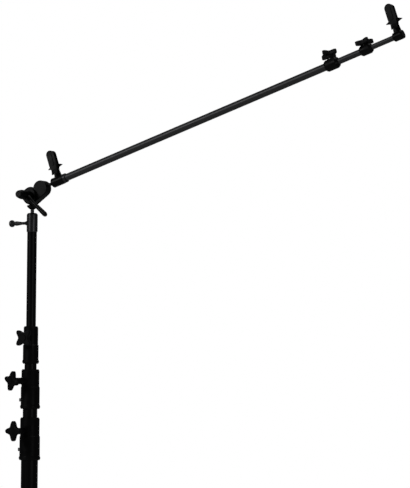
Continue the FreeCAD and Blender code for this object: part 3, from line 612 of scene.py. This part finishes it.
@dataclass
class Studio:
    """Floor, lights and camera."""

    floor_radius: float = 4.0
    camera_at: tuple[float, float, float] = (2.71816, -4.42369, 1.03985)
    camera_right: tuple[float, float, float] = (0.886362, 0.462935, 0.007334)
    camera_up: tuple[float, float, float] = (0.021160, -0.056328, 0.998188)
    lens: float = 184.43
    lights: Sequence[tuple[str, Vector, Vector, float, float]] = field(default_factory=lambda: (
        ("key", Vector((-1.6, -3.0, 2.6)), Vector((0.1, 0.0, 1.35)), 1.2, 26.0),
        ("fill", Vector((3.4, -1.6, 1.6)), Vector((0.3, 0.0, 1.2)), 1.8, 6.0),
        ("over", Vector((0.4, 0.6, 3.6)), Vector((0.3, 0.0, 1.0)), 1.6, 9.0),
    ))

    def floor(self) -> None:
        """Lay the pale floor."""
        data = bpy.data.meshes.new("floor")
        count = 96
        ring = [
            (
                self.floor_radius * math.cos(2 * math.pi * i / count),
                self.floor_radius * math.sin(2 * math.pi * i / count),
                -0.0004,
            )
            for i in range(count)
        ]
        data.from_pydata(ring, [], [list(range(count))])
        material = bpy.data.materials.new("pale_floor")
        material.use_nodes = True
        shader = material.node_tree.nodes["Principled BSDF"]
        shader.inputs["Base Color"].default_value = (0.86, 0.86, 0.86, 1.0)
        shader.inputs["Roughness"].default_value = 0.8
        data.materials.append(material)
        floor = bpy.data.objects.new("floor", data)
        bpy.context.scene.collection.objects.link(floor)

    def light(self) -> None:
        """Set soft lights and a white surround that lights the stand only a little."""
        scene = bpy.context.scene
        world = bpy.data.worlds.new("surround")
        scene.world = world
        world.use_nodes = True
        nodes, links = world.node_tree.nodes, world.node_tree.links
        seen = nodes["Background"]
        seen.inputs["Color"].default_value = (1.0, 1.0, 1.0, 1.0)
        seen.inputs["Strength"].default_value = 1.0
        lit = nodes.new("ShaderNodeBackground")
        lit.inputs["Color"].default_value = (0.96, 0.98, 1.0, 1.0)
        lit.inputs["Strength"].default_value = 0.07
        path = nodes.new("ShaderNodeLightPath")
        mix = nodes.new("ShaderNodeMixShader")
        links.new(path.outputs["Is Camera Ray"], mix.inputs["Fac"])
        links.new(lit.outputs[0], mix.inputs[1])
        links.new(seen.outputs[0], mix.inputs[2])
        links.new(mix.outputs[0], nodes["World Output"].inputs["Surface"])
        for name, at, aim, size, power in self.lights:
            data = bpy.data.lights.new(name, "AREA")
            data.shape = "DISK"
            data.size = size
            data.energy = power
            lamp = bpy.data.objects.new(name, data)
            lamp.location = at
            lamp.rotation_euler = (aim - at).to_track_quat("-Z", "Y").to_euler()
            scene.collection.objects.link(lamp)
        scene.view_settings.view_transform = "Standard"

    def camera(self) -> None:
        """Stand the camera where the stand is looked at from."""
        data = bpy.data.cameras.new("camera")
        data.lens = self.lens
        data.sensor_width = 36.0
        data.clip_end = 50.0
        right, up = Vector(self.camera_right), Vector(self.camera_up)
        back = right.cross(up)
        camera = bpy.data.objects.new("camera", data)
        turn = Matrix((right, up, back)).transposed()
        camera.matrix_world = Matrix.Translation(self.camera_at) @ turn.to_4x4()
        bpy.context.scene.collection.objects.link(camera)
        bpy.context.scene.camera = camera


# ------------------------------------------------------------------ sub-assemblies


@dataclass
class Base:
    """Legs, boots and the foot of the column."""

    frame: dict
    finishes: Finishes
    rows: Row
    sleeve_r: float = 21.5
    tube_r: float = 12.5
    boot_r: float = 15.5
    boot_axis_z: float = 15.0
    boot_ribs_from: float = 464.0
    boot_rib_step: float = 6.0
    boot_bands: int = 5
    boot_rib_gaps: int = 24
    boot_arc_from: float = -54.0
    boot_arc: float = 288.0
    weld_beads: int = 46
    weld_proud: float = 0.2
    rivet_sides: tuple[float, ...] = (-62.0, 62.0)
    rivet_rises: tuple[float, ...] = (-9.0, 9.0)
    legs: tuple[tuple[str, str, float, float], ...] = (
        ("front", "base", 0.0, 330.0),
        ("left", "leg_left", 120.0, 294.0),
        ("right", "leg_right", -120.0, 258.0),
    )

    def welds(self, name: str, body: str, turn: float, height: float) -> None:
        """Lay the weld where a leg's tube meets its sleeve.

        Args:
            name: the leg's name.
            body: the body it moves with.
            turn: where it stands round the column, in degrees.
            height: height of the tube's axis there.
        """
        spots = []
        ring_r = self.tube_r + self.weld_proud
        for i in range(self.weld_beads):
            angle = 2 * math.pi * i / self.weld_beads
            y, z = ring_r * math.cos(angle), ring_r * math.sin(angle)
            x = math.sqrt(self.sleeve_r**2 - y**2) + self.weld_proud
            out = turned(0.0, math.cos(angle), math.sin(angle), turn) / MM
            along = turned(0.0, -math.sin(angle), math.cos(angle), turn) / MM
            spots.append(Spot(turned(x, y, height + z, turn), out, along))
        size = (1.15 * MM, 1.35 * MM, 0.8 * MM)
        finish = self.finishes.of(TUBE_BLACK)
        self.rows.make(f"weld_{name}", spots, size, finish, body, "tube_black", 0.12)

    def boot_ribs(self, name: str, body: str, turn: float) -> None:
        """Ring a boot with short grip ribs.

        Args:
            name: the leg's name.
            body: the body it moves with.
            turn: where it stands round the column, in degrees.
        """
        spots = []
        along = turned(1.0, 0.0, 0.0, turn) / MM
        for band in range(self.boot_bands):
            x = self.boot_ribs_from + band * self.boot_rib_step
            for i in range(self.boot_rib_gaps + 1):
                share = i / self.boot_rib_gaps
                angle = math.radians(self.boot_arc_from + self.boot_arc * share)
                c, s = math.cos(angle), math.sin(angle)
                at = turned(x, self.boot_r * c, self.boot_axis_z + self.boot_r * s, turn)
                spots.append(Spot(at, turned(0.0, c, s, turn) / MM, along))
        size = (0.55 * MM, 1.5 * MM, 0.8 * MM)
        finish = self.finishes.of(RUBBER)
        self.rows.make(f"boot_ribs_{name}", spots, size, finish, body, "rubber")

    def rivets(self, name: str, body: str, turn: float, height: float) -> None:
        """Set the rivets of a leg's sleeve.

        Args:
            name: the leg's name.
            body: the body it moves with.
            turn: where it stands round the column, in degrees.
            height: height of the sleeve's middle.
        """
        spots = []
        for side in self.rivet_sides:
            for rise in self.rivet_rises:
                at = turned(self.sleeve_r, 0.0, height + rise, turn + side)
                out = turned(1.0, 0.0, 0.0, turn + side) / MM
                spots.append(Spot(at, out, Vector((0.0, 0.0, 1.0))))
        size = (0.9 * MM, 2.3 * MM, 2.3 * MM)
        finish = self.finishes.of(DARK_STEEL)
        self.rows.make(f"sleeve_rivets_{name}", spots, size, finish, body, "steel")

    def build(self) -> None:
        """Dress the base and add its welds, rivets and ribs."""
        for name, body, turn, height in self.legs:
            self.welds(name, body, turn, height)
            self.rivets(name, body, turn, height)
            self.boot_ribs(name, body, turn)
        tube = self.finishes.of(TUBE_BLACK)
        dress(self.frame, tube, "base_tube", "leg_front", "leg_left", "leg_right")
        dress(self.frame, self.finishes.of(RUBBER), "foot_front", "foot_left", "foot_right")
        dress(self.frame, self.finishes.of(NYLON), "leg_rings", "base_plug")


@dataclass
class Column:
    """Risers, collars, knobs."""

    frame: dict
    finishes: Finishes

    def build(self) -> None:
        """Dress the column."""
        of = self.finishes.of
        dress(self.frame, of(TUBE_BLACK), "riser_1", "riser_2", "riser_3")
        dress(self.frame, of(CAST_BLACK), "collar_low", "collar_mid", "collar_top")
        dress(self.frame, of(KNOB_BLACK), "knob_low", "knob_mid", "knob_top")
        dress(self.frame, of(NYLON), "guide_1", "guide_2", "guide_3")
        dress(self.frame, of(NYLON), "pad_low", "pad_mid", "pad_top")
        dress(self.frame, of(STEEL), "stud_low", "stud_mid", "stud_top", "spigot",
              "collar_low_screw", "collar_mid_screw")


@dataclass
class Head:
    """Receiver, tilt joint and lever."""

    frame: dict
    finishes: Finishes
    rows: Row
    pivot_z: float = 1447.0
    boss_face: float = 16.5
    spline_r: float = 7.9
    splines: int = 24
    spline_depth: float = 0.8

    def lever_splines(self) -> None:
        """Tooth the lever's insert where it shows between boss and hub."""
        spots = []
        middle = Vector((0.0, -self.boss_face - self.spline_depth, self.pivot_z))
        for i in range(self.splines):
            angle = 2 * math.pi * i / self.splines
            out = Vector((math.cos(angle), 0.0, math.sin(angle)))
            at = (middle + out * self.spline_r) * MM
            spots.append(Spot(at, out, Vector((0.0, 1.0, 0.0))))
        size = (0.6 * MM, 0.6 * MM, 0.55 * MM)
        finish = self.finishes.of(STEEL)
        self.rows.make("lever_splines", spots, size, finish, "lever_insert", "steel")

    def build(self) -> None:
        """Dress the head."""
        self.lever_splines()
        of = self.finishes.of
        dress(self.frame, of(SOCKET_GREY), "head_socket")
        dress(self.frame, of(BALL_GREY), "socket_screw_grip")
        dress(self.frame, of(STEEL), "lever_insert")
        dress(self.frame, of(DARK_STEEL), "socket_screw", "pivot_bolt", "lever_screw")
        dress(self.frame, of(KNUCKLE_BLACK), "lower_knuckle", "upper_knuckle", "lever")
        dress(self.frame, of(NYLON), "friction_discs")


@dataclass
class Boom:
    """Boom tubes, collars and knobs."""

    frame: dict
    finishes: Finishes

    def build(self) -> None:
        """Dress the boom."""
        of = self.finishes.of
        dress(self.frame, of(BOOM_TUBE), "arm_tube_1", "arm_tube_2", "arm_tube_3")
        dress(self.frame, of(BOOM_BLACK), "arm_collar_a", "arm_collar_b", "arm_tip")
        dress(self.frame, of(BOOM_KNOB), "arm_knob_a", "arm_knob_b")
        dress(self.frame, of(STEEL), "arm_stud_a", "arm_stud_b")
        dress(self.frame, of(DARK_STEEL), "arm_stem")
        dress(self.frame, of(RING_GREY), "arm_ring")


@dataclass
class Clips:
    """The two reflector clips."""

    frame: dict
    finishes: Finishes
    rows: Row
    root: tuple[float, float, float] = (23.2, 0.0, 1463.1)
    pitch_deg: float = 18.6
    stations: tuple[tuple[str, float], ...] = (("near", 41.5), ("far", 844.2))
    tab_top: tuple[float, float] = (-5.8, 24.0)
    tab_end: tuple[float, float] = (-9.1, 15.2)
    ridges: int = 5
    ridge_from: float = 0.12
    ridge_step: float = 0.19

    def place(self, station: float, y: float, rise: float) -> Vector:
        """A point of the boom's frame, in millimetres, in metres of the world."""
        return (Vector(self.root) + self.along() * station + self.across() * rise
                + Vector((0.0, y, 0.0))) * MM

    def along(self) -> Vector:
        """The boom's direction."""
        pitch = math.radians(self.pitch_deg)
        return Vector((math.cos(pitch), 0.0, math.sin(pitch)))

    def across(self) -> Vector:
        """The direction across the boom, upwards."""
        pitch = math.radians(self.pitch_deg)
        return Vector((-math.sin(pitch), 0.0, math.cos(pitch)))

    def tab_ridges(self, end: str, station: float) -> None:
        """Ridge the finger tab of a moving jaw.

        Args:
            end: near or far.
            station: the clip's place along the boom.
        """
        spots = []
        for i in range(self.ridges):
            share = self.ridge_from + self.ridge_step * i
            y = self.tab_top[0] + share * (self.tab_end[0] - self.tab_top[0])
            rise = self.tab_top[1] + share * (self.tab_end[1] - self.tab_top[1])
            at = self.place(station, y, rise)
            spots.append(Spot(at, Vector((0.0, -1.0, 0.0)), self.along()))
        size = (0.55 * MM, 0.6 * MM, 5.4 * MM)
        finish = self.finishes.of(BOOM_BLACK)
        self.rows.make(f"tab_ridges_{end}", spots, size, finish, f"clip_{end}_jaw", "boom_black")

    def build(self) -> None:
        """Dress the clips."""
        for end, station in self.stations:
            self.tab_ridges(end, station)
        of = self.finishes.of
        for end in ("near", "far"):
            clip = f"clip_{end}"
            dress(self.frame, of(BOOM_BLACK), clip, f"{clip}_jaw")
            dress(self.frame, of(STEEL), f"{clip}_pin", f"{clip}_spring")


def main() -> None:
    """Load the frame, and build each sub-assembly."""
    logging.basicConfig(level=logging.INFO, format="%(name)s: %(message)s")
    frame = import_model()
    finishes = Finishes()
    studio = Studio()
    studio.floor()
    studio.light()
    studio.camera()
    rows = Row()
    for part in (
        Base(frame, finishes, rows),
        Column(frame, finishes),
        Head(frame, finishes, rows),
        Boom(frame, finishes),
        Clips(frame, finishes, rows),
    ):
        part.build()
        LOG.info("built %s", type(part).__name__)


if __name__ == "__main__":
    main()
